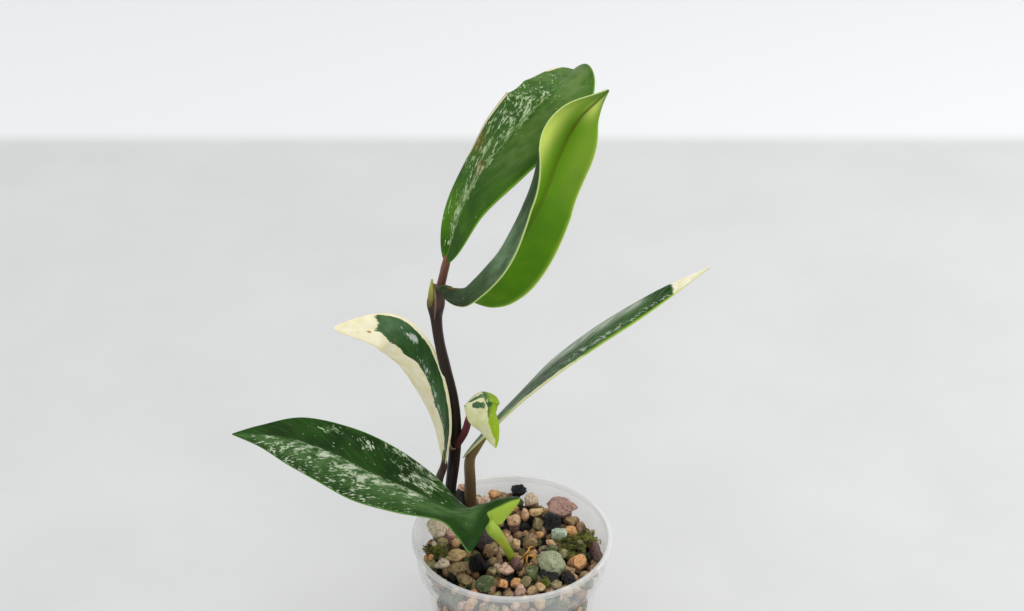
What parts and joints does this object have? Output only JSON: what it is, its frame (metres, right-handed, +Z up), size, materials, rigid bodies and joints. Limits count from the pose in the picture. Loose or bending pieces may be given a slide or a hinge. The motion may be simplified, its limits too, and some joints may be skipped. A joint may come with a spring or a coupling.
{
  "type": "potted hoya pubicalyx",
  "caption": "Young climbing hoya with long waxy splashed and cream-edged leaves on dark stems, standing in a clear stepped nursery pot of stone grit.",
  "frame": {"origin": "centre of the flat underside of the pot, on the surface that it stands on", "axes": "+Z up along the pot's axis, -Y towards the viewer of the picture, +X to the viewer's right"},
  "size_m": [0.2091, 0.1033, 0.3048],
  "materials": {
    "clear_pot": "thin clear plastic, a little milky, soft gloss",
    "stone_grit": "mixed tan pumice, black and reddish lava and green zeolite, matt and damp in places",
    "dark_stem": "smooth dark purple-brown bark with a faint sheen",
    "bud_green": "smooth yellow-green bud",
    "green_leaf": "waxy deep green with silver flecks, soft sheen",
    "lime_leaf": "bright lime underside and dark green waxy upper face",
    "cream_leaf": "waxy cream with a dark green middle",
    "pale_leaf": "soft young leaf, mint cream and lime"
  },
  "bodies": {
    "root": {"pot": "clear_pot", "grit": "stone_grit", "main_stem": "dark_stem", "stem_bud": "bud_green", "leaf_lower_left": "green_leaf", "leaf_top": "green_leaf", "leaf_curled": "lime_leaf", "leaf_cream": "cream_leaf", "leaf_right": "green_leaf", "leaf_small": "pale_leaf"}
  },
  "joints": []
}
